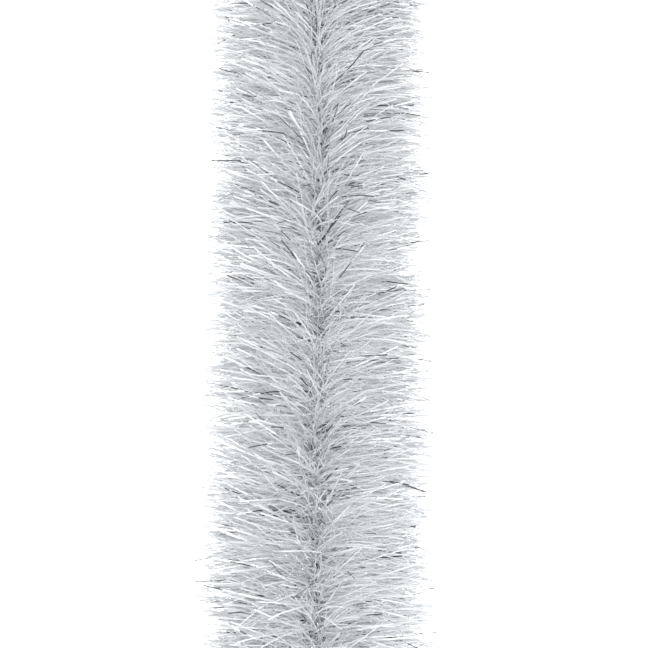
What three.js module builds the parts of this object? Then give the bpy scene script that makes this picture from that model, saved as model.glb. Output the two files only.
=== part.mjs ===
// A tinsel feather boa, laid on a table in a loose S with its middle run straight.
// Six film tapes, slit into a fringe along both edges, lie in a flat stack. Two core cords grip the
// stack from above and below, and each tape's two fringes fan out from it. At each end the cords run
// into a crimped ferrule and come back out of it as a hanging loop.
// The table is the plane z = 0. The origin is on it, under the middle of the straight run, which
// lies along Y. All sizes are in millimetres.
import * as THREE from 'three';

// Fringe
const boaRadius = 50; // from the core's axis to the strand tips
const coreHeight = 30; // the core's axis above the table: the strands under it are pressed flat
const fanStep = 30; // degrees between one tape's fringe and the next one's
const fringeSpread = 10; // degrees that one fringe fills at its tips

// Film tapes: a closed solid thicker than the real film, which is about 0.05 mm
const filmThickness = 0.4;
const filmGap = 0.3; // between one tape and the next, and between a tape and a cord
const ribHalfWidth = 2.2; // unslit band of the outermost tapes, from the middle to its edge
const ribStagger = 1; // each tape further in keeps its band flat for this much longer

// Core cords, ferrules and hanging loops
const cordDiameter = 1.8;
const cordSides = 8;
const ferruleLength = 12;
const ferruleWall = 0.8;
const ferruleClearance = 0.3; // between a cord and the ferrule, and between the ends that meet in it
const cordSpacing = 0.6; // between the two cords, side by side in the ferrule
const loopReach = 25; // from the ferrule's middle to the far side of the loop
const loopHalfWidth = 6.5;

const stepsPerPoint = 2; // cross-sections for each point of a route

// The tapes, from the top of the stack to the bottom
const tapes = [
  { name: 'white_fringe_upper', color: 0xe6e9ec, roughness: 0.45, metalness: 0 },
  { name: 'clear_fringe_upper', color: 0xd5dee4, roughness: 0.2, metalness: 0.2 },
  { name: 'silver_fringe', color: 0xc9ccd0, roughness: 0.18, metalness: 0.9 },
  { name: 'white_fringe_middle', color: 0xe6e9ec, roughness: 0.45, metalness: 0 },
  { name: 'clear_fringe_lower', color: 0xd5dee4, roughness: 0.2, metalness: 0.2 },
  { name: 'white_fringe_lower', color: 0xe6e9ec, roughness: 0.45, metalness: 0 },
];

// Where the core runs, from one end of the fringe to the other, seen from above
const route = [
  [-237, 150], [-231, 80], [-229, 10], [-231, -60], [-234, -130], [-231, -192],
  [-214, -249], [-173, -291], [-116, -305], [-59, -290], [-17, -248],
  [0, -190], [0, -95], [0, 0], [0, 95], [0, 190],
  [17, 248], [59, 290], [116, 305], [173, 291], [214, 249],
  [231, 192], [234, 130], [231, 60], [229, -10], [231, -80], [237, -150],
];

// Where each cord runs past the end of the fringe. along is measured from the end of the fringe.
// turn goes from 0, where the cords lie one above the other, to 1, where they lie side by side.
// drop goes from 0, at the height of the core, to 1, in the ferrule on the table.
const tail = [
  { along: 5, turn: 0, drop: 0 },
  { along: 12, turn: 0.15, drop: 0.1 },
  { along: 20, turn: 0.55, drop: 0.5 },
  { along: 28, turn: 0.94, drop: 0.88 },
  { along: 34, turn: 1, drop: 0.985 },
  { along: 40, turn: 1, drop: 1 },
  { along: 46, turn: 1, drop: 1 },
];

// Half of the loop: reach goes from 0, at the ferrule's mouth, to 1, at the far side of the loop,
// width is a share of loopHalfWidth, and drop goes from 0, in the ferrule, to 1, on the table.
const loopHalf = [
  { reach: 0, width: 0, drop: 0 },
  { reach: 0.07, width: 0.02, drop: 0.04 },
  { reach: 0.32, width: 0.6, drop: 0.6 },
  { reach: 0.63, width: 1, drop: 1 },
  { reach: 0.91, width: 0.62, drop: 1 },
];

// Worked out from the sizes above
const cordRadius = cordDiameter / 2;
const stackHalf = (tapes.length * (filmThickness + filmGap) + filmGap) / 2;
const cordOffset = stackHalf + cordRadius; // from the core's axis to a cord's, above and below it
const legOffset = cordRadius + cordSpacing / 2; // the same, side by side in the ferrule
const boreHalfHeight = cordRadius + ferruleClearance;
const ferruleHalfHeight = boreHalfHeight + ferruleWall;
const buttGap = ferruleClearance / 2; // from the ferrule's middle to each cord end
const ferruleMiddle = tail[tail.length - 1].along + buttGap;
const up = new THREE.Vector3(0, 0, 1);
const radians = THREE.MathUtils.degToRad;

// A smooth curve that takes its cross-sections evenly per point, so close points give a fine tube.
class Route extends THREE.CatmullRomCurve3 {
  getPointAt(share, target) {
    return this.getPoint(share, target);
  }

  getTangentAt(share, target) {
    return this.getTangent(share, target);
  }
}

function sweep(outline, points) {
  const options = {
    extrudePath: new Route(points, false, 'centripetal'),
    steps: (points.length - 1) * stepsPerPoint,
    bevelEnabled: false,
  };
  return new THREE.ExtrudeGeometry(new THREE.Shape(outline), options);
}

// A point of a cross-section, side to the right and rise upwards, in a level sweep's own axes.
function across(side, rise) {
  return new THREE.Vector2(-rise, side);
}

const corePoints = route.map(([x, y]) => new THREE.Vector3(x, y, coreHeight));

// How far a strand goes at an angle above the horizontal: to its tip, or to the table.
function strandReach(angle) {
  return angle < 0 ? Math.min(boaRadius, coreHeight / Math.sin(-angle)) : boaRadius;
}

// A tape is a thin flat band in the stack that opens into a blade on both sides.
function tapeOutline(index) {
  const fromMiddle = (tapes.length - 1) / 2 - index;
  const level = fromMiddle * (filmThickness + filmGap);
  const nested = (tapes.length - 1) / 2 - Math.abs(fromMiddle);
  const edge = ribHalfWidth + nested * ribStagger;
  const tips = [-0.5, 0.5].map((share) => {
    const angle = radians(fromMiddle * fanStep + share * fringeSpread);
    return [strandReach(angle) * Math.cos(angle), strandReach(angle) * Math.sin(angle)];
  });
  const half = [[edge, level - filmThickness / 2], ...tips, [edge, level + filmThickness / 2]];
  const mirrored = half.map(([side, rise]) => [-side, rise]).reverse();
  return [...half, ...mirrored].map(([side, rise]) => across(side, rise));
}

function cordOutline() {
  return Array.from({ length: cordSides }, (_, i) => {
    const angle = (2 * Math.PI * (i + 0.5)) / cordSides;
    return new THREE.Vector2(cordRadius * Math.cos(angle), cordRadius * Math.sin(angle));
  });
}

// The axes at an end of the fringe: outward along the core, and sideways.
function fringeEnd(last, before) {
  const outward = last.clone().sub(before).normalize();
  return { origin: last, outward, sideways: new THREE.Vector3().crossVectors(up, outward) };
}

const ends = {
  left: fringeEnd(corePoints[0], corePoints[1]),
  right: fringeEnd(corePoints.at(-1), corePoints.at(-2)),
};

function endPoint(end, along, side, height) {
  const point = end.origin.clone().addScaledVector(end.outward, along).addScaledVector(end.sideways, side);
  return point.setZ(height);
}

// One cord past the end of the fringe: layer is 1 for the upper cord and -1 for the lower one.
function tailPoints(end, layer, side) {
  return tail.map(({ along, turn, drop }) => {
    const height = THREE.MathUtils.lerp(coreHeight, ferruleHalfHeight, drop);
    return endPoint(end, along, side * legOffset * turn, height + layer * cordOffset * (1 - turn));
  });
}

function coreCord(layer) {
  const lifted = corePoints.map((point) => point.clone().addScaledVector(up, layer * cordOffset));
  const points = [
    ...tailPoints(ends.left, layer, -layer).reverse(),
    ...lifted,
    ...tailPoints(ends.right, layer, layer),
  ];
  return sweep(cordOutline(), points);
}

// The loop's legs lie side by side in the ferrule, each against the end of a core cord.
function hangingLoop(end) {
  const leg = (side) => loopHalf.map(({ reach, width, drop }) => endPoint(
    end,
    ferruleMiddle + THREE.MathUtils.lerp(ferruleLength / 2, loopReach, reach),
    side * THREE.MathUtils.lerp(legOffset, loopHalfWidth, width),
    THREE.MathUtils.lerp(ferruleHalfHeight, cordRadius, drop),
  ));
  const butt = (side) => endPoint(end, ferruleMiddle + buttGap, side * legOffset, ferruleHalfHeight);
  const farSide = endPoint(end, ferruleMiddle + loopReach, 0, cordRadius);
  return sweep(cordOutline(), [butt(1), ...leg(1), farSide, ...leg(-1).reverse(), butt(-1)]);
}

// A closed outline with straight top and bottom and round ends.
function obround(path, halfWidth, halfHeight) {
  const straight = halfWidth - halfHeight;
  path.moveTo(-straight, -halfHeight);
  path.lineTo(straight, -halfHeight);
  path.absarc(straight, 0, halfHeight, -Math.PI / 2, Math.PI / 2);
  path.lineTo(-straight, halfHeight);
  path.absarc(-straight, 0, halfHeight, Math.PI / 2, (3 * Math.PI) / 2);
  return path;
}

function ferrule() {
  const boreHalfWidth = legOffset + boreHalfHeight;
  const wall = obround(new THREE.Shape(), boreHalfWidth + ferruleWall, ferruleHalfHeight);
  wall.holes.push(obround(new THREE.Path(), boreHalfWidth, boreHalfHeight));
  const options = { depth: ferruleLength, bevelEnabled: false, curveSegments: 6 };
  return new THREE.ExtrudeGeometry(wall, options).translate(0, 0, -ferruleLength / 2);
}

const boa = new THREE.Group();

function add(name, geometry, { color, roughness, metalness }) {
  const mesh = new THREE.Mesh(geometry, new THREE.MeshStandardMaterial({ color, roughness, metalness }));
  mesh.name = name;
  boa.add(mesh);
  return mesh;
}

tapes.forEach((tape, index) => add(tape.name, sweep(tapeOutline(index), corePoints), tape));

const cordFinish = { color: 0xdfe2e4, roughness: 0.75, metalness: 0 };
add('core_cord_upper', coreCord(1), cordFinish);
add('core_cord_lower', coreCord(-1), cordFinish);

const ferruleFinish = { color: 0xb9bcc0, roughness: 0.3, metalness: 1 };
for (const [side, end] of Object.entries(ends)) {
  const sleeve = add(`${side}_ferrule`, ferrule(), ferruleFinish);
  sleeve.position.copy(endPoint(end, ferruleMiddle, 0, ferruleHalfHeight));
  sleeve.quaternion.setFromRotationMatrix(new THREE.Matrix4().makeBasis(end.sideways, up, end.outward));
  add(`${side}_hanging_loop`, hangingLoop(end), cordFinish);
}

export default boa;
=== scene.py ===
import math

import bpy
import numpy as np
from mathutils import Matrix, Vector


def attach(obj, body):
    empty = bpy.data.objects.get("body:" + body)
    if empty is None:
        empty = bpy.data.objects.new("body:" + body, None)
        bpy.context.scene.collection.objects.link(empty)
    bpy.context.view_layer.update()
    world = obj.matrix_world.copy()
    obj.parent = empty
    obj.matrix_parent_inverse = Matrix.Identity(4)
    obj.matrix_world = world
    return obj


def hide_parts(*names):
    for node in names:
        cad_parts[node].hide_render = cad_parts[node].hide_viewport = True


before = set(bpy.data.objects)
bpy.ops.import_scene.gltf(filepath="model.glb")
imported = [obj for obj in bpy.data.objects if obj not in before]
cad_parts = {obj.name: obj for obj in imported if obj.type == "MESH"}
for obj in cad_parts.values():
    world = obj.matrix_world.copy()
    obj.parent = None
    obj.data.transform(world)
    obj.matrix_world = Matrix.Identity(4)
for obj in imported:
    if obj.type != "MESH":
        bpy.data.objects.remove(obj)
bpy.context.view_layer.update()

mm = 0.001
generator = np.random.default_rng(20240611)
up = np.array((0.0, 0.0, 1.0))

# camera: leans back from straight above, so strands that point at it rise up the picture
cameraSetup = {  # angles in degrees, distances in metres, lens in mm
    "lean": 15.0, "roll": 0.4, "distance": 0.86, "lens": 100.0, "aim": (0.0045, 0.0, 0.032),
}
cameraData = bpy.data.cameras.new("camera")
cameraData.lens = cameraSetup["lens"]
camera = bpy.data.objects.new("camera", cameraData)
bpy.context.scene.collection.objects.link(camera)
lean = math.radians(cameraSetup["lean"])
towardsCamera = Vector((0, -math.sin(lean), math.cos(lean)))
camera.location = Vector(cameraSetup["aim"]) + cameraSetup["distance"] * towardsCamera
camera.rotation_euler = (lean, 0, math.radians(cameraSetup["roll"]))
bpy.context.scene.camera = camera
print("camera set")


# core: where it runs, from one end of the fringe to the other, seen from above
core = {
    "height": 30 * mm,
    "route": [  # in mm
        (-237, 150), (-231, 80), (-229, 10), (-231, -60), (-234, -130), (-231, -192),
        (-214, -249), (-173, -291), (-116, -305), (-59, -290), (-17, -248),
        (0, -190), (0, -95), (0, 0), (0, 95), (0, 190),
        (17, 248), (59, 290), (116, 305), (173, 291), (214, 249),
        (231, 192), (234, 130), (231, 60), (229, -10), (231, -80), (237, -150),
    ],
    # past the fringe, in mm from its end, and the share of the way down to the ferrule's height
    "tail": [(5, 0), (12, 0.1), (20, 0.5), (28, 0.88), (34, 0.985), (40, 1), (46, 1)],
}
cords = {
    "diameter": 1.8 * mm, "yarns": 3, "yarnLay": 5 * mm, "fromAxis": 1.5 * mm, "inFerrule": 1.2 * mm,
    "halfTurns": 63, "straightEnd": 14 * mm, "drawIn": 40 * mm, "headingReach": 4 * mm, "step": 0.8 * mm,
    "yarnSides": 6, "yarnShare": 0.232,  # a yarn's radius, as a share of the cord's diameter
}
ferrules = {"length": 12 * mm, "wall": 0.8 * mm, "clearance": 0.3 * mm}
loops = {
    "reach": 25 * mm, "halfWidth": 6.5 * mm, "step": 0.35 * mm, "perSpan": 40,
    # half a loop: shares of the reach, of the half width and of the drop to the table
    "half": [(0, 0, 0), (0.07, 0.02, 0.04), (0.32, 0.6, 0.6), (0.63, 1, 1), (0.91, 0.62, 1)],
}


def smoothRoute(points, perSpan=24):
    p = np.array(points, float)
    p = np.vstack([2 * p[0] - p[1], p, 2 * p[-1] - p[-2]])
    share = (np.arange(perSpan) / perSpan)[:, None]
    spans = []
    for a, b, c, d in zip(p, p[1:], p[2:], p[3:]):
        ab, bc, cd = (np.linalg.norm(v) ** 0.5 for v in (b - a, c - b, d - c))
        leave = bc * ((b - a) / ab - (c - a) / (ab + bc) + (c - b) / bc)
        arrive = bc * ((c - b) / bc - (d - b) / (bc + cd) + (d - c) / cd)
        cubic = 2 * (b - c) + leave + arrive
        square = 3 * (c - b) - 2 * leave - arrive
        spans.append(b + leave * share + square * share ** 2 + cubic * share ** 3)
    return np.vstack([*spans, p[-2]])


class Line:  # a route by the distance along it
    def __init__(self, points):
        self.points = points
        self.along = np.append(0, np.cumsum(np.linalg.norm(np.diff(points, axis=0), axis=1)))
        self.length = self.along[-1]

    def at(self, distance):
        return np.stack([np.interp(distance, self.along, axis) for axis in self.points.T], axis=-1)

    def heading(self, distance, reach=1.5 * mm):
        before = np.clip(distance - reach, 0, self.length)
        after = np.clip(distance + reach, 0, self.length)
        return unit(self.at(after) - self.at(before))


def unit(v):
    return v / np.linalg.norm(v, axis=-1, keepdims=True)


def meshPiece(name, corners, faces, smooth=True):
    sizes = [len(f) for f in faces]
    mesh = bpy.data.meshes.new(name)
    mesh.vertices.add(len(corners))
    mesh.vertices.foreach_set("co", np.asarray(corners, np.float32).ravel())
    mesh.loops.add(sum(sizes))
    mesh.loops.foreach_set("vertex_index", np.concatenate(faces).astype(np.int32))
    mesh.polygons.add(len(sizes))
    mesh.polygons.foreach_set("loop_start", np.append(0, np.cumsum(sizes)[:-1]).astype(np.int32))
    mesh.polygons.foreach_set("use_smooth", np.full(len(sizes), smooth))
    mesh.update(calc_edges=True)
    piece = bpy.data.objects.new(name, mesh)
    bpy.context.scene.collection.objects.link(piece)
    return piece


mapCell = {"margin": 0.02, "ends": 0.08, "endHeight": 0.05}  # shares of a strand's cell


def layMap(piece, cells, places):  # a UV map with a cell for each strand; one row per face corner
    across = math.ceil((cells.max() + 1) ** 0.5)
    corner = np.stack([cells % across, cells // across], axis=1)
    flat = (corner + mapCell["margin"] + (1 - 2 * mapCell["margin"]) * places) / across
    piece.data.uv_layers.new(name="OFBake").uv.foreach_set("vector", flat.astype(np.float32).ravel())


def numberOnPoints(piece, name, values):
    piece.data.attributes.new(name, "FLOAT", "POINT").data.foreach_set("value", np.asarray(values, np.float32))


def tube(centre, radius, sides):  # closed tube, with its corners and faces
    count = len(centre)
    heading = unit(np.gradient(centre, axis=0))
    side = unit(np.cross(heading, up))
    over = np.cross(side, heading)
    turn = 2 * np.pi * np.arange(sides) / sides
    ring = np.cos(turn)[:, None, None] * side + np.sin(turn)[:, None, None] * over
    corners = (centre + radius * ring).transpose(1, 0, 2).reshape(-1, 3)
    start = (np.arange(count - 1) * sides)[:, None]
    here, there = np.arange(sides), (np.arange(sides) + 1) % sides
    walls = np.stack([start + here, start + sides + here, start + sides + there, start + there], axis=-1)
    caps = [list(range(sides)), list(range(count * sides - 1, (count - 1) * sides - 1, -1))]
    return corners, [*walls.reshape(-1, 4).tolist(), *caps]


def twistedCord(name, centre):  # yarns laid round a centreline
    sides, yarns = cords["yarnSides"], cords["yarns"]
    heading = unit(np.gradient(centre, axis=0))
    side = unit(np.cross(heading, up))
    over = np.cross(side, heading)
    gone = np.append(0, np.cumsum(np.linalg.norm(np.diff(centre, axis=0), axis=1)))
    yarnRadius = cords["diameter"] * cords["yarnShare"]
    fromMiddle = cords["diameter"] / 2 - yarnRadius
    corners, faces, across = [], [], []
    for yarn in range(yarns):
        turn = (2 * np.pi * (gone / cords["yarnLay"] + yarn / yarns))[:, None]
        yarnCentre = centre + fromMiddle * (np.cos(turn) * side + np.sin(turn) * over)
        newCorners, newFaces = tube(yarnCentre, yarnRadius, sides)
        offset = len(corners) * len(newCorners)
        faces += [[v + offset for v in face] for face in newFaces]
        corners.append(newCorners)
        across.append(np.tile(np.arange(sides) / sides, len(centre)))
    piece = meshPiece(name, np.vstack(corners), faces)
    numberOnPoints(piece, "along", np.tile(np.repeat(gone, sides), yarns))
    numberOnPoints(piece, "around", np.concatenate(across))
    return piece


routePoints = [np.array((x * mm, y * mm, core["height"])) for x, y in core["route"]]
fringeLine = Line(smoothRoute(routePoints))
ferruleHalfHeight = cords["diameter"] / 2 + ferrules["clearance"] + ferrules["wall"]
tailEnd = core["tail"][-1][0] * mm
ferruleMiddle = tailEnd + ferrules["clearance"] / 2


def fringeEnd(last, before):
    outward = unit(np.array(last, float) - before)
    return {"origin": np.array(last), "outward": outward, "sideways": np.cross(up, outward)}


ends = {"left": fringeEnd(routePoints[0], routePoints[1]), "right": fringeEnd(routePoints[-1], routePoints[-2])}


def endPoint(end, along, side, height):
    point = end["origin"] + along * end["outward"] + side * end["sideways"]
    return np.array((point[0], point[1], height))


def tailPoints(end):
    fall = ferruleHalfHeight - core["height"]
    return [endPoint(end, along * mm, 0, core["height"] + share * fall) for along, share in core["tail"]]


coreLine = Line(smoothRoute([*tailPoints(ends["left"])[::-1], *routePoints, *tailPoints(ends["right"])]))


def coreCordCentre(opposite):
    gone = np.arange(0, coreLine.length, cords["step"])
    centre, heading = coreLine.at(gone), coreLine.heading(gone, cords["headingReach"])
    side = unit(np.cross(heading, up))
    over = np.cross(side, heading)
    share = np.clip((gone - cords["straightEnd"]) / (coreLine.length - 2 * cords["straightEnd"]), 0, 1)
    turn = np.pi * (0.5 + cords["halfTurns"] * share + opposite)
    near = np.clip(np.minimum(gone, coreLine.length - gone) / cords["drawIn"], 0, 1)
    apart = cords["inFerrule"] + near * (cords["fromAxis"] - cords["inFerrule"])
    return centre + apart[:, None] * (np.sin(turn)[:, None] * side + np.cos(turn)[:, None] * over)


def loopCentre(end):
    legOffset = cords["inFerrule"]
    mouth, lying = ferrules["length"] / 2, cords["diameter"] / 2

    def leg(sign):
        return [endPoint(end, ferruleMiddle + mouth + reach * (loops["reach"] - mouth),
                         sign * (legOffset + width * (loops["halfWidth"] - legOffset)),
                         ferruleHalfHeight + drop * (lying - ferruleHalfHeight))
                for reach, width, drop in loops["half"]]

    buttAlong = ferruleMiddle + ferrules["clearance"] / 2
    butts = [endPoint(end, buttAlong, sign * legOffset, ferruleHalfHeight) for sign in (1, -1)]
    farSide = endPoint(end, ferruleMiddle + loops["reach"], 0, lying)
    line = Line(smoothRoute([butts[0], *leg(1), farSide, *leg(-1)[::-1], butts[1]], loops["perSpan"]))
    return line.at(np.arange(0, line.length, loops["step"]))


def pathLength(points):
    return float(np.linalg.norm(np.diff(points, axis=0), axis=1).sum())


cordPieces = []
for which, node in enumerate(("core_cord_upper", "core_cord_lower")):
    centre = coreCordCentre(which)
    piece = twistedCord(node.replace("_upper", "_a").replace("_lower", "_b"), centre)
    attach(piece, "root")
    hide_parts(node)
    cordPieces.append(piece)

for side, end in ends.items():
    centre = loopCentre(end)
    piece = twistedCord(f"{side}_loop_cord", centre)
    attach(piece, "root")
    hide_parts(f"{side}_hanging_loop")
    mouth = endPoint(end, ferruleMiddle + ferrules["length"] / 2, cords["inFerrule"], ferruleHalfHeight)
    cordPieces.append(piece)
print("cords laid", round(pathLength(coreCordCentre(0)), 3), "m")


# one film strand: a slim closed strip from x = 0, at the core, to x = 1, at the tip
def modelStrand(spans):
    bpy.ops.object.select_all(action="DESELECT")
    bpy.ops.mesh.primitive_cylinder_add(vertices=3, radius=1, depth=1, location=(0, 0, 0))
    model = bpy.context.active_object
    bpy.ops.object.mode_set(mode="EDIT")
    bpy.ops.mesh.select_all(action="SELECT")
    bpy.ops.transform.rotate(value=math.radians(90), orient_axis="Y", center_override=(0, 0, 0))
    bpy.ops.transform.translate(value=(0.5, 0, 0))
    bpy.ops.mesh.select_mode(type="EDGE")
    bpy.ops.mesh.select_all(action="DESELECT")
    bpy.ops.object.mode_set(mode="OBJECT")
    for edge in model.data.edges:  # the three long edges
        a, b = (model.data.vertices[v].co for v in edge.vertices)
        edge.select = abs(a.x - b.x) > 0.5  # the strip is 1 long
    bpy.ops.object.mode_set(mode="EDIT")
    bpy.ops.mesh.subdivide(number_cuts=spans - 1)
    bpy.ops.mesh.select_all(action="SELECT")
    bpy.ops.mesh.normals_make_consistent(inside=False)
    bpy.ops.object.mode_set(mode="OBJECT")
    corners = np.array([v.co for v in model.data.vertices])
    quads = np.array([list(f.vertices) for f in model.data.polygons if len(f.vertices) == 4])
    ends = np.array([list(f.vertices) for f in model.data.polygons if len(f.vertices) == 3])
    bpy.data.objects.remove(model, do_unlink=True)
    angles = np.arctan2(corners[:, 2], corners[:, 1])
    around = np.rint((angles - angles.min()) / (2 * np.pi / 3)).astype(int) % 3
    sides = around[quads]
    sides = np.where((sides == 0) & (sides.max(axis=1, keepdims=True) == 2), 3, sides)  # the last side
    room, height = mapCell["ends"], mapCell["endHeight"]
    quadPlaces = np.stack([sides / 3, room + (1 - 2 * room) * corners[quads, 0]], axis=-1)
    endUp = (1 - height) * corners[ends, 0] + height * (around[ends] == 1)
    endPlaces = np.stack([around[ends] / 2, endUp], axis=-1)
    return {"along": corners[:, 0], "station": np.rint(corners[:, 0] * spans).astype(int), "around": around,
            "quads": quads, "ends": ends, "quadPlaces": quadPlaces, "endPlaces": endPlaces}


# across a strand: a flat base and a low crown
acrossUnit = np.array([-0.5, 0.5, 0.0])
crownUnit = np.array([-0.33, -0.33, 0.67])
strands = {spans: modelStrand(spans) for spans in (4, 5)}
print("strands modelled", [len(strand["quads"]) + 2 for strand in strands.values()], "faces")

fringe = {  # angles in degrees
    "turnPitch": 60 * mm,  # the tapes turn once round the core in this length
    "tuft": 2, "tuftJitter": 0.35, "tuftSpread": 26.0,  # strands that leave the core together
    "jitter": 0.7 * mm, "spread": 14.0,  # each strand in its tuft
    "foot": (2.0 * mm, 6.5 * mm), "footSpread": 38.0,  # where it leaves the core
    "lengthLimits": (0.65, 1.07), "settle": 0.08,  # shares of the length
    "leanFoot": 0.1, "leanVary": 0.32, "leanFade": 2.5, "leanTip": 0.01, "leanSkew": 0.09,  # along the core
    "part": 1.0, "partWidth": 0.15,  # away from straight up, which is this many radians wide
    "droop": 20.0, "droopVary": (0.5, 1.5),  # strands at a slant
    "fall": 23.0, "fallVary": (0.3, 1.4), "fallWidth": 0.6, "crossOver": 0.12,  # strands near the top, in radians
    "turnOver": 35.0,  # how far a strand is turned about its own length
    "floorGap": (0.7, 5.0), "lowest": 0.2 * mm,  # over the table; the first in mm
    "widthVary": (0.75, 1.1), "crownVary": (0.7, 1.2),
}
band = {  # a tape's unslit middle
    "half": 5.5 * mm, "step": 2 * mm, "thick": 0.12 * mm, "crumple": 0.7 * mm,
    "folds": (-1, -0.3, 0.35, 1.0),  # lengthwise folds, as shares of its half width
    "tone": 0.5, "pattern": 48 * mm,
}
filmKinds = {  # sizes in mm, angles in degrees
    "white": {"strands": 5400, "pieces": 1, "spans": 5, "length": 50.2, "uneven": 0.09, "width": 0.74, "crown": 0.38,
              "kink": 0.15, "bend": 12.0, "loose": 0.25, "twist": 50.0},
    "clear": {"strands": 17700, "pieces": 3, "spans": 4, "length": 49.0, "uneven": 0.09, "width": 0.44, "crown": 0.18,
              "kink": 1.1, "bend": 18.0, "loose": 0.9, "twist": 240.0},
    "silver": {"strands": 6800, "pieces": 1, "spans": 4, "length": 50.2, "uneven": 0.08, "width": 0.62, "crown": 0.3,
               "kink": 0.1, "bend": 13.0, "loose": 0.5, "twist": 40.0},
}
tapes = {
    "white_fringe_upper": "white", "clear_fringe_upper": "clear", "silver_fringe": "silver",
    "white_fringe_middle": "white", "clear_fringe_lower": "clear", "white_fringe_lower": "white",
}


def strandLines(tape, film, count):  # points of every strand's middle line, and which way its width runs
    spans = film["spans"]
    tufts = -(-count // fringe["tuft"])
    tuftOf = np.arange(count) // fringe["tuft"]
    place = (np.arange(tufts) + 0.5 + generator.normal(0, fringe["tuftJitter"], tufts)) / tufts * fringeLine.length
    distance = place[tuftOf] + generator.normal(0, fringe["jitter"], count)
    distance = np.clip(distance, 0, fringeLine.length)
    heading = fringeLine.heading(distance)
    side = unit(np.cross(heading, up))
    edge = generator.integers(0, 2, tufts)
    turn = 2 * np.pi * distance / fringe["turnPitch"] + np.pi * (tape / len(tapes) + edge[tuftOf])
    tuftTurn = generator.normal(0, fringe["tuftSpread"], tufts)[tuftOf]
    turn += np.radians(tuftTurn + generator.normal(0, fringe["spread"], count))
    turn = (turn + np.pi) % (2 * np.pi) - np.pi  # 0 is straight up
    turn += np.tanh(turn / fringe["partWidth"]) * np.radians(fringe["part"]) * np.clip(np.cos(turn), 0, 1) ** 2
    upright = np.clip(np.cos(turn), 0, 1)
    length = film["length"] * mm * np.clip(1 + generator.normal(0, film["uneven"], count), *fringe["lengthLimits"])
    length *= 1 - fringe["settle"] * upright ** 2
    loose = 1 + film["loose"] * upright ** 4
    bendTurn = np.radians(generator.normal(0, film["bend"], count)) * loose
    bendLean = np.radians(generator.normal(0, film["bend"], count)) * loose
    slant = np.clip(np.sin(2 * np.abs(turn)), 0, 1)
    droop = np.radians(fringe["droop"]) * generator.uniform(*fringe["droopVary"], count) * slant
    overTop = np.exp(-(turn / fringe["fallWidth"]) ** 2)
    droop += np.radians(fringe["fall"]) * generator.uniform(*fringe["fallVary"], count) * overTop
    droop *= np.sign(turn + generator.normal(0, fringe["crossOver"], count))  # a few fall the other way
    leanFoot = fringe["leanFoot"] + generator.normal(0, fringe["leanVary"], count) * loose
    floorGap = generator.uniform(*fringe["floorGap"], count) * mm
    foot = generator.uniform(*fringe["foot"], count)[:, None]
    footTurn = (turn + np.radians(generator.normal(0, fringe["footSpread"], count)))[:, None]
    point = fringeLine.at(distance) + foot * (np.sin(footTurn) * side + np.cos(footTurn) * up)
    points = [point]
    for span in range(spans):
        share = (span + 0.5) / spans
        now = turn + (droop + bendTurn) * share
        along = fringe["leanTip"] - fringe["leanSkew"] * np.sin(now) * share
        along = along + leanFoot * (1 - share) ** fringe["leanFade"] + bendLean * share
        way = unit(np.sin(now)[:, None] * side + np.cos(now)[:, None] * up + along[:, None] * heading)
        step = way * (length / spans)[:, None] + generator.normal(0, film["kink"] * mm, (count, 3))
        low = point[:, 2] + step[:, 2] < floorGap  # these bend and run along the table
        flat = step.copy()
        flat[:, 2] = np.minimum(floorGap - point[:, 2], 0)
        level = np.sqrt(np.maximum((length / spans) ** 2 - flat[:, 2] ** 2, 0))
        planar = np.linalg.norm(step[:, :2], axis=1)
        flat[:, :2] = step[:, :2] / planar[:, None] * level[:, None]
        step[low] = flat[low]
        point = point + step
        points.append(point)
    points = np.stack(points, axis=1)
    footTwist = np.radians(generator.normal(0, fringe["turnOver"], count))[:, None]
    tipTwist = np.radians(generator.normal(0, film["twist"], count))[:, None]
    twist = footTwist + tipTwist * np.linspace(0, 1, spans + 1)
    ways = unit(np.gradient(points, axis=1))
    flatWay = unit(heading[:, None, :] - ways * (ways * heading[:, None, :]).sum(-1, keepdims=True))
    other = np.cross(ways, flatWay)
    width = np.cos(twist)[..., None] * flatWay + np.sin(twist)[..., None] * other
    thick = np.cross(ways, width)
    return points, width, thick


def crumpledBand(tape):  # the tape's unslit middle, turning with the core
    gone = np.arange(0, fringeLine.length, band["step"])
    centre, heading = fringeLine.at(gone), fringeLine.heading(gone)
    side = unit(np.cross(heading, up))
    turn = (2 * np.pi * gone / fringe["turnPitch"] + np.pi * tape / len(tapes))[:, None]
    wide = np.sin(turn) * side + np.cos(turn) * up
    thick = np.cross(heading, wide)
    rows = []
    crumple = generator.normal(0, band["crumple"], (len(band["folds"]), len(gone), 1))
    for level in (1, -1):  # the upper face, then back along the lower one
        for share, crease in zip(band["folds"][::level], crumple[::level]):
            rows.append(centre + share * band["half"] * wide + (crease + level * band["thick"] / 2) * thick)
    corners = np.stack(rows, axis=1)
    count, ring = corners.shape[:2]
    start = (np.arange(count - 1) * ring)[:, None]
    here, there = np.arange(ring), (np.arange(ring) + 1) % ring
    walls = np.stack([start + here, start + there, start + ring + there, start + ring + here], axis=-1)
    last = (count - 1) * ring
    caps = [list(range(ring))[::-1], list(range(last, last + ring))]
    wallPlaces = np.array([[(r, 0), (r + 1, 0), (r + 1, 1), (r, 1)] for r in range(ring)]) / (ring, 1)
    capPlaces = np.array([(0, 0), (1, 0), (2, 0), (3, 0), (3, 1), (2, 1), (1, 1), (0, 1)]) / (3, 1)
    capCells = np.repeat([count - 1, count], ring)
    cells = np.append(np.repeat(np.arange(count - 1), 4 * ring), capCells)
    places = np.vstack([np.tile(wallPlaces.reshape(-1, 2), (count - 1, 1)), capPlaces[::-1], capPlaces])
    return corners.reshape(-1, 3), walls.reshape(-1, 4), caps, cells, places


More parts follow.
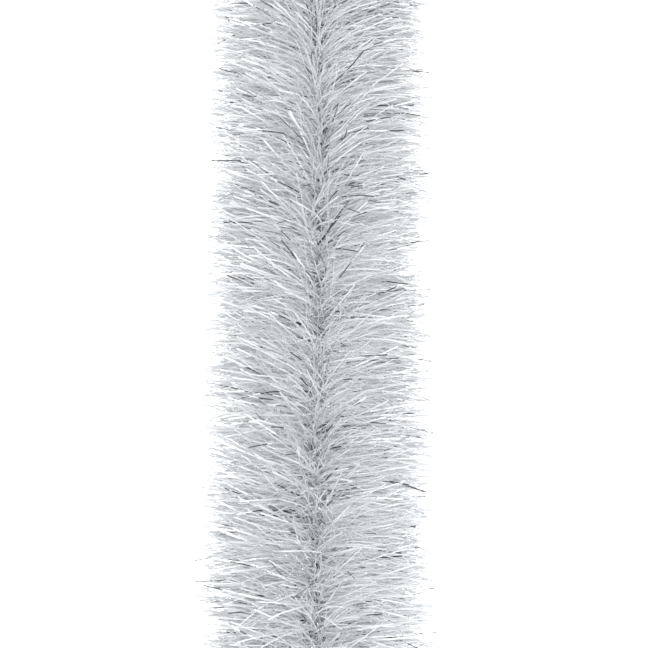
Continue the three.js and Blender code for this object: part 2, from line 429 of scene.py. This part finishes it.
def fringePiece(name, tape, film, count, withBand):
    points, width, thick = strandLines(tape, film, count)
    strand = strands[film["spans"]]
    station, around = strand["station"], strand["around"]
    wide = film["width"] * mm * generator.uniform(*fringe["widthVary"], count)[:, None, None]
    crown = film["crown"] * mm * generator.uniform(*fringe["crownVary"], count)[:, None, None]
    corners = (points[:, station] + wide * acrossUnit[around][:, None] * width[:, station]
               + crown * crownUnit[around][:, None] * thick[:, station])
    corners = corners.reshape(-1, 3)
    corners[:, 2] = np.maximum(corners[:, 2], fringe["lowest"])
    offsets = (np.arange(count) * len(around))[:, None, None]
    faces = [*(strand["quads"] + offsets).reshape(-1, 4), *(strand["ends"] + offsets).reshape(-1, 3)]
    tone = np.repeat(generator.uniform(0, 1, count), len(around))
    along = np.tile(strand["along"], count)
    across = np.tile(around / 3, count)
    quadPlaces, endPlaces = strand["quadPlaces"].reshape(-1, 2), strand["endPlaces"].reshape(-1, 2)
    cells = np.concatenate([np.repeat(np.arange(count), len(part)) for part in (quadPlaces, endPlaces)])
    places = np.vstack([np.tile(part, (count, 1)) for part in (quadPlaces, endPlaces)])
    if withBand:
        bandCorners, walls, caps, bandCells, bandPlaces = crumpledBand(tape)
        cells, places = np.append(cells, count + bandCells), np.vstack([places, bandPlaces])
        faces += [*(walls + len(corners)), *[[v + len(corners) for v in cap] for cap in caps]]
        corners = np.vstack([corners, bandCorners])
        ring = 2 * len(band["folds"])
        stations = len(bandCorners) // ring
        tone = np.append(tone, np.full(len(bandCorners), band["tone"]))
        along = np.append(along, np.repeat(np.arange(stations) * band["step"] / band["pattern"], ring))
        across = np.append(across, np.tile(np.array([0, 1, 2, 3, 3, 2, 1, 0]) / 1.5, stations))
    piece = meshPiece(name, corners, faces, smooth=False)
    layMap(piece, cells, places)
    numberOnPoints(piece, "tone", tone)
    numberOnPoints(piece, "along", along)
    numberOnPoints(piece, "across", across)
    return piece


fringePieces = {}
for tape, (node, kind) in enumerate(tapes.items()):
    film = filmKinds[kind]
    for part in range(film["pieces"]):
        name = node.replace("_fringe", "_strands") + ("", "_b", "_c")[part]
        piece = fringePiece(name, tape, film, film["strands"] // film["pieces"], part == 0)
        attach(piece, "root")
        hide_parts(node)
        fringePieces[name] = piece, kind
        print("fringe", name, len(piece.data.polygons))


# materials
class Value:  # a number from a socket, which takes part in ordinary arithmetic
    def __init__(self, tree, socket):
        self.tree, self.socket = tree, socket

    def maths(self, operation, *others):
        node = self.tree.nodes.new("ShaderNodeMath")
        node.operation = operation
        for slot, other in zip(node.inputs, others):
            if isinstance(other, Value):
                self.tree.links.new(other.socket, slot)
            else:
                slot.default_value = other
        return Value(self.tree, node.outputs[0])

    def __add__(self, other):
        return self.maths("ADD", self, other)

    def __radd__(self, other):
        return self.maths("ADD", other, self)

    def __mul__(self, other):
        return self.maths("MULTIPLY", self, other)

    def __rmul__(self, other):
        return self.maths("MULTIPLY", other, self)

    def __gt__(self, other):
        return self.maths("GREATER_THAN", self, other)


class Tree:  # nodes of a material or of the surroundings
    def __init__(self, owner):
        owner.use_nodes = True
        self.tree = owner.node_tree

    def node(self, kind, settings=None, out=0, **inputs):
        node = self.tree.nodes.new(kind)
        for key, value in (settings or {}).items():
            setattr(node, key, value)
        for key, value in inputs.items():
            self.feed(node.inputs[key.replace("_", " ")], value)
        return Value(self.tree, node.outputs[out])

    def feed(self, socket, value):
        if isinstance(value, Value):
            self.tree.links.new(value.socket, socket)
        else:
            socket.default_value = value


class Finish(Tree):  # a material
    def __init__(self, name, **constants):
        self.material = bpy.data.materials.new(name)
        super().__init__(self.material)
        self.shader = next(n for n in self.tree.nodes if n.type == "BSDF_PRINCIPLED")
        for socket, value in constants.items():
            self.shader.inputs[socket.replace("_", " ")].default_value = value

    def number(self, name):
        return self.node("ShaderNodeAttribute", {"attribute_name": name}, out="Fac")

    def mixColours(self, share, first, second):
        node = self.tree.nodes.new("ShaderNodeMix")
        node.data_type = "RGBA"
        self.feed(node.inputs[0], share)
        self.feed(node.inputs[6], first)
        self.feed(node.inputs[7], second)
        return Value(self.tree, node.outputs[2])

    def vector(self, x, y, z):
        return self.node("ShaderNodeCombineXYZ", X=x, Y=y, Z=z)

    def noise(self, place, scale, detail=2.0, roughness=0.5):
        return self.node("ShaderNodeTexNoise", Vector=place, Scale=scale, Detail=detail, Roughness=roughness)

    def bump(self, height, strength, distance):
        return self.node("ShaderNodeBump", Height=height, Strength=strength, Distance=distance)

    def surface(self, socket, value):
        self.feed(self.shader.inputs[socket], value)

    def letThrough(self, share, colour):  # part of the light goes through the film
        thin = self.node("ShaderNodeBsdfTranslucent", Color=colour)
        mixed = self.node("ShaderNodeMixShader", Fac=share)
        self.tree.links.new(self.shader.outputs[0], mixed.socket.node.inputs[1])
        self.tree.links.new(thin.socket, mixed.socket.node.inputs[2])
        output = next(n for n in self.tree.nodes if n.type == "OUTPUT_MATERIAL")
        self.tree.links.new(mixed.socket, output.inputs["Surface"])


strandApart = 57.0  # far enough that each strand has a pattern of its own


def strandNoise(finish, grain, detail=2.0, roughness=0.5):  # grain: across, along and over all
    across, along, fineness = grain
    place = finish.vector(finish.number("across") * across, finish.number("along") * along,
                          finish.number("tone") * strandApart)
    return finish.noise(place, fineness, detail, roughness)


def paintedShadeTowardsTip(finish, colour, tipColour, share):  # painted shade: a little darker towards the tip
    gone = finish.number("along")
    return finish.mixColours(gone * gone * share, colour, tipColour)


white = {
    "dull": (0.72, 0.731, 0.745, 1), "bright": (0.775, 0.785, 0.793, 1), "streak": (0.66, 0.675, 0.69, 1),
    # the tip colour is painted shade, mixed in towards the strand's tip
    "streakShare": 0.3, "tip": (0.52, 0.53, 0.542, 1), "tipShare": 0.85, "lightThrough": 0.4,
    "roughness": 0.38, "roughnessVary": 0.25, "creases": 0.35, "creaseDepth": 0.2 * mm,
    "streakGrain": (3.0, 1.2, 2.0), "creaseGrain": (6.0, 5.0, 2.5),
}


def whiteFilm():
    f = Finish("pearlWhiteFilm", Specular_IOR_Level=0.5)
    streak = strandNoise(f, white["streakGrain"])
    colour = f.mixColours(f.number("tone"), white["dull"], white["bright"])
    colour = f.mixColours(streak * white["streakShare"], colour, white["streak"])
    colour = paintedShadeTowardsTip(f, colour, white["tip"], white["tipShare"])
    f.surface("Base Color", colour)
    f.surface("Roughness", white["roughness"] + streak * white["roughnessVary"])
    creases = strandNoise(f, white["creaseGrain"])
    f.surface("Normal", f.bump(creases, white["creases"], white["creaseDepth"]))
    f.letThrough(white["lightThrough"], colour)
    return f.material


clear = {
    "dull": (0.972, 0.98, 0.988, 1), "bright": (0.988, 0.991, 0.994, 1),
    "lilac": (0.98, 0.96, 0.985, 1), "lilacAbove": 0.55, "lilacShare": 0.6,
    "green": (0.975, 0.985, 0.965, 1), "greenAbove": 0.62, "greenShare": 0.5,
    # the tip colour is painted shade, mixed in towards the strand's tip
    "tip": (0.60, 0.615, 0.635, 1), "tipShare": 0.95, "lightThrough": 0.55,
    "roughness": 0.27, "roughnessVary": 0.22, "creases": 0.5, "creaseDepth": 0.3 * mm,
    "shimmerGrain": (1.0, 2.2, 1.5), "creaseGrain": (4.0, 45.0, 1.0),
}


def clearFilm():
    f = Finish("clearPearlFilm", Metallic=0.5)
    shimmer = strandNoise(f, clear["shimmerGrain"])
    tint = f.mixColours(f.number("tone"), clear["dull"], clear["bright"])
    lilac = f.mixColours((shimmer > clear["lilacAbove"]) * clear["lilacShare"], tint, clear["lilac"])
    colour = f.mixColours((shimmer > clear["greenAbove"]) * clear["greenShare"], lilac, clear["green"])
    colour = paintedShadeTowardsTip(f, colour, clear["tip"], clear["tipShare"])
    f.surface("Base Color", colour)
    f.surface("Roughness", clear["roughness"] + shimmer * clear["roughnessVary"])
    creases = strandNoise(f, clear["creaseGrain"], detail=1.0)
    f.surface("Normal", f.bump(creases, clear["creases"], clear["creaseDepth"]))
    f.letThrough(clear["lightThrough"], colour)
    return f.material


silver = {
    # the darker colour is a painted dark reflection, put on parts of the mirror film
    "mirror": (0.74, 0.75, 0.765, 1), "paintedDarkReflection": (0.09, 0.093, 0.097, 1), "paintedDarkReflectionAbove": 0.6,
    "roughness": 0.28, "roughnessVary": 0.3, "creases": 0.35, "creaseDepth": 0.3 * mm,
    "paintedDarkReflectionGrain": (0.0, 2.0, 1.0), "roughGrain": (2.0, 3.0, 2.0), "creaseGrain": (4.0, 8.0, 3.0),
}


def silverFilm():
    f = Finish("silverFilm", Metallic=1.0)
    rough = strandNoise(f, silver["roughGrain"])
    paintedDarkReflection = strandNoise(f, silver["paintedDarkReflectionGrain"], detail=0.0)  # painted dark reflection: parts of the mirror film darkened as if they reflected something dark
    f.surface("Base Color", f.mixColours(paintedDarkReflection > silver["paintedDarkReflectionAbove"], silver["mirror"], silver["paintedDarkReflection"]))
    f.surface("Roughness", silver["roughness"] + rough * silver["roughnessVary"])
    creases = strandNoise(f, silver["creaseGrain"])
    f.surface("Normal", f.bump(creases, silver["creases"], silver["creaseDepth"]))
    return f.material


threadFinish = {
    "paintedHollowShade": (0.42, 0.435, 0.45, 1), "fibre": (0.6, 0.61, 0.62, 1), "fibresAround": 4.0, "fibresPerMetre": 900.0,
    "fluff": 0.5, "fluffDepth": 0.2 * mm,
}


def cordThread():
    f = Finish("whiteThread", Roughness=0.75, Sheen_Weight=0.3)
    around = f.number("around") * threadFinish["fibresAround"]
    along = f.number("along") * threadFinish["fibresPerMetre"]
    fibre = f.noise(f.vector(around, along, 0.0), 1.0)
    # fibre pattern on the bump; its darker colour, where the bump is low, is painted shade in the hollows between
    # fibres
    f.surface("Base Color", f.mixColours(fibre, threadFinish["paintedHollowShade"], threadFinish["fibre"]))
    f.surface("Normal", f.bump(fibre, threadFinish["fluff"], threadFinish["fluffDepth"]))
    return f.material


metalFinish = {
    "dull": (0.42, 0.43, 0.45, 1), "bright": (0.56, 0.57, 0.58, 1), "grainPerMetre": 900.0,
    "roughness": 0.22, "roughnessVary": 0.2,
}


def pressedMetal():
    f = Finish("pressedMetal", Metallic=1.0)
    grain = f.noise(f.node("ShaderNodeTexCoord", out="Object"), metalFinish["grainPerMetre"])
    f.surface("Base Color", f.mixColours(grain, metalFinish["dull"], metalFinish["bright"]))
    f.surface("Roughness", metalFinish["roughness"] + grain * metalFinish["roughnessVary"])
    return f.material


films = {"white": whiteFilm(), "clear": clearFilm(), "silver": silverFilm()}
for piece, kind in fringePieces.values():
    piece.data.materials.append(films[kind])
thread = cordThread()
for piece in cordPieces:
    piece.data.materials.append(thread)
metal = pressedMetal()
for side in ends:
    sleeve = bpy.data.objects[f"{side}_ferrule"]
    sleeve.material_slots[0].material = metal


# floor and light
studio = {  # a light tent, open at the top, with two softboxes over it
    "floor": (3.0, 3.0), "floorColour": (0.95, 0.95, 0.95, 1), "floorGlow": 0.4,
    "sky": 1.58, "openingEdge": (0.94, 0.98), "openingShade": 0.2,
    "key": {"place": (-0.35, -0.35, 1.35), "size": (0.8, 1.2), "power": 27.0},
    "fill": {"place": (0.55, -0.25, 1.25), "size": (0.7, 1.2), "power": 19.0},
}
bpy.ops.object.select_all(action="DESELECT")
bpy.ops.mesh.primitive_plane_add(size=1, location=(0, 0, 0))
floor = bpy.context.active_object
floor.name = "floor"
bpy.ops.object.mode_set(mode="EDIT")
bpy.ops.mesh.select_all(action="SELECT")
bpy.ops.transform.resize(value=(*studio["floor"], 1))
bpy.ops.object.mode_set(mode="OBJECT")
paper = Finish("whitePaper", Roughness=0.9, Base_Color=studio["floorColour"],
               Emission_Color=(1, 1, 1, 1), Emission_Strength=studio["floorGlow"])
floor.data.materials.append(paper.material)

tent = bpy.data.worlds.new("studio")
bpy.context.scene.world = tent
walls = Tree(tent)
direction = walls.node("ShaderNodeTexCoord", out="Generated")
height = walls.node("ShaderNodeSeparateXYZ", out="Z", Vector=direction)
lowEdge, highEdge = studio["openingEdge"]
brightness = walls.node("ShaderNodeMapRange", out="Result", Value=height, From_Min=lowEdge, From_Max=highEdge,
                        To_Min=1.0, To_Max=studio["openingShade"])
sky = walls.tree.nodes["Background"]
walls.feed(sky.inputs["Color"], brightness)
walls.feed(sky.inputs["Strength"], studio["sky"])


def softbox(name, place, size, power):  # aimed at the middle of the floor
    data = bpy.data.lights.new(name, "AREA")
    data.shape = "RECTANGLE"
    data.size, data.size_y, data.energy = *size, power
    lamp = bpy.data.objects.new(name, data)
    bpy.context.scene.collection.objects.link(lamp)
    lamp.location = place
    lamp.rotation_euler = (-Vector(place)).to_track_quat("-Z", "Y").to_euler()


softbox("keyLight", **studio["key"])
softbox("fillLight", **studio["fill"])
bpy.context.scene.view_settings.view_transform = "Standard"

bpy.context.view_layer.update()
print("done")
